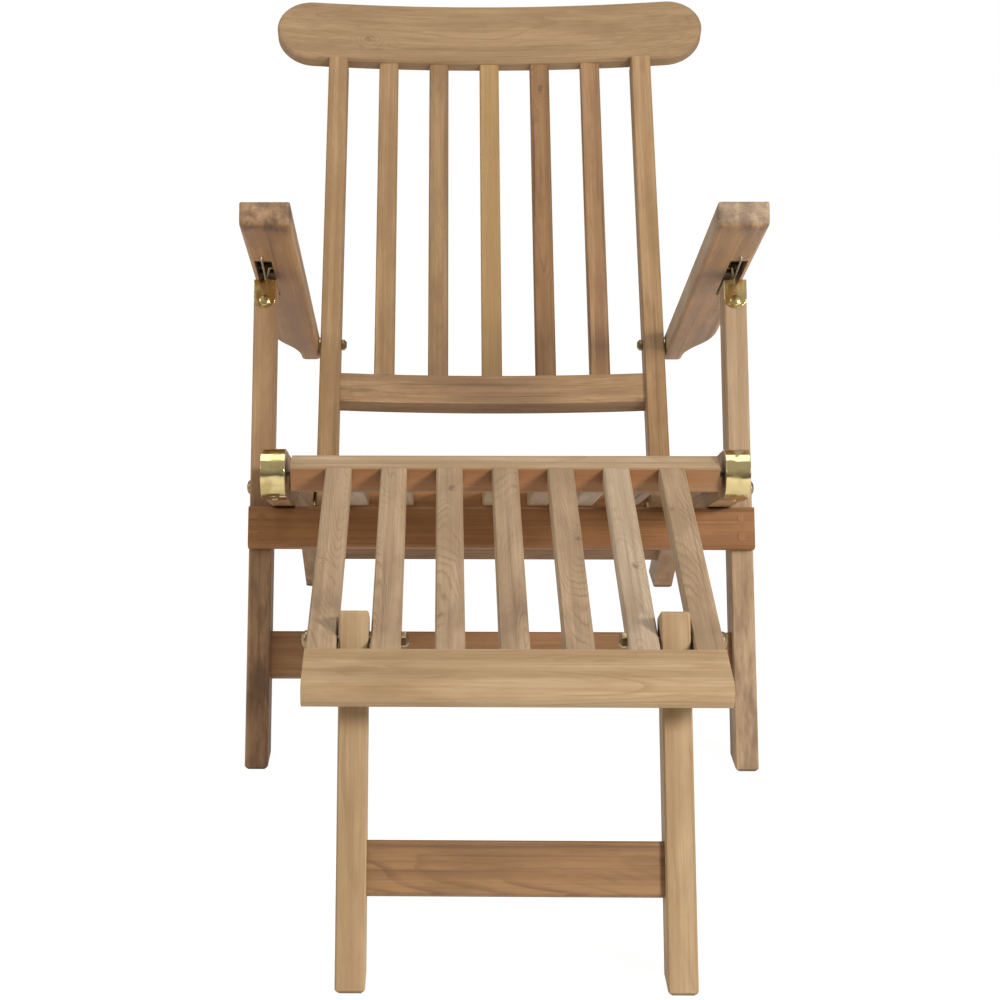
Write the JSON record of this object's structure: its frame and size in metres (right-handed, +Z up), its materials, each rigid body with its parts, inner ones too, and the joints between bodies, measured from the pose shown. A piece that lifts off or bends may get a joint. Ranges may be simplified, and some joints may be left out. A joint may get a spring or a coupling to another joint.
{
  "type": "folding deck chair",
  "caption": "Folding teak steamer chair with a reclining slatted back, curved headrest, slotted armrests on brass catches, and a hinged footrest on folding legs.",
  "frame": {"origin": "middle of the footprint on the floor, on the chair's plane of symmetry", "axes": "+Z up, -Y towards the foot end, +X to the right as seen from the foot end"},
  "size_m": [0.626, 1.6342, 0.8225],
  "materials": {
    "teak_frame": "sanded, unfinished teak",
    "teak_slats": "sanded, unfinished teak",
    "teak_plugs": "sanded end grain",
    "brass_fittings": "polished",
    "brass_fasteners": "polished",
    "steel_pins": "satin"
  },
  "bodies": {
    "seat_frame": {"side_rail_left": "teak_frame", "side_rail_right": "teak_frame", "hinge_strap_left": "brass_fittings", "hinge_strap_right": "brass_fittings", "strap_screws": "brass_fasteners", "seat_cross_rail_front": "teak_frame", "seat_cross_rail_rear": "teak_frame", "rear_stretcher": "teak_frame", "seat_slat_1": "teak_slats", "seat_slat_2": "teak_slats", "seat_slat_3": "teak_slats", "seat_slat_4": "teak_slats", "seat_slat_5": "teak_slats", "seat_slat_6": "teak_slats", "seat_slat_7": "teak_slats", "frame_pivot_bolts": "brass_fasteners", "frame_cap_nuts": "brass_fasteners", "frame_washers": "brass_fasteners"},
    "leg_frame": {"front_leg_left": "teak_frame", "front_leg_right": "teak_frame", "front_apron": "teak_frame", "apron_plugs": "teak_plugs", "leg_stretcher": "teak_frame", "catch_bracket_left": "brass_fittings", "catch_bracket_right": "brass_fittings", "bracket_screws": "brass_fasteners"},
    "back_frame": {"headrest": "teak_frame", "back_stile_left": "teak_frame", "back_stile_right": "teak_frame", "back_slat_1": "teak_slats", "back_slat_2": "teak_slats", "back_slat_3": "teak_slats", "back_slat_4": "teak_slats", "back_slat_5": "teak_slats", "back_lower_rail": "teak_frame", "arm_pivot_bolts": "brass_fasteners", "arm_cap_nuts": "brass_fasteners", "arm_washers": "brass_fasteners"},
    "arm_left": {"armrest_left": "teak_frame", "catch_pins_left": "steel_pins", "wire_clip_left": "steel_pins"},
    "arm_right": {"armrest_right": "teak_frame", "catch_pins_right": "steel_pins", "wire_clip_right": "steel_pins"},
    "footrest": {"footrest_hinge_rail": "teak_frame", "footrest_slat_1": "teak_slats", "footrest_slat_2": "teak_slats", "footrest_slat_3": "teak_slats", "footrest_slat_4": "teak_slats", "footrest_slat_5": "teak_slats", "footrest_slat_6": "teak_slats", "footrest_slat_7": "teak_slats", "footrest_front_board": "teak_frame", "footrest_hinge_pins": "steel_pins", "footrest_leg_bolts": "brass_fasteners", "footrest_leg_nuts": "brass_fasteners"},
    "footrest_legs": {"footrest_leg_left": "teak_frame", "footrest_leg_right": "teak_frame", "footrest_leg_stretcher": "teak_frame"}
  },
  "joints": [
    {"name": "back_fold", "type": "hinge", "parent": "seat_frame", "child": "back_frame", "pos_m": [0, 0.24775, 0.18294], "axis": [1, 0, 0], "range_deg": [0, 95]},
    {"name": "leg_fold", "type": "hinge", "parent": "seat_frame", "child": "leg_frame", "pos_m": [0, -0.0835, 0.29121], "axis": [1, 0, 0], "range_deg": [0, 81]},
    {"name": "arm_fold_left", "type": "hinge", "parent": "back_frame", "child": "arm_left", "pos_m": [0, 0.41506, 0.37205], "axis": [1, 0, 0], "range_deg": [-95, 0]},
    {"name": "arm_fold_right", "type": "hinge", "parent": "back_frame", "child": "arm_right", "pos_m": [0, 0.41506, 0.37205], "axis": [1, 0, 0], "range_deg": [-95, 0]},
    {"name": "footrest_fold", "type": "hinge", "parent": "seat_frame", "child": "footrest", "pos_m": [0, -0.27408, 0.3535], "axis": [1, 0, 0], "range_deg": [-65, 79]},
    {"name": "footrest_leg_fold", "type": "hinge", "parent": "footrest", "child": "footrest_legs", "pos_m": [0, -0.65152, 0.28267], "axis": [1, 0, 0], "range_deg": [0, 116]}
  ],
  "couplings": [
    {"joint": "leg_fold", "follows": "back_fold", "ratio": 0.85},
    {"joint": "arm_fold_left", "follows": "back_fold", "ratio": -1},
    {"joint": "arm_fold_right", "follows": "back_fold", "ratio": -1}
  ]
}
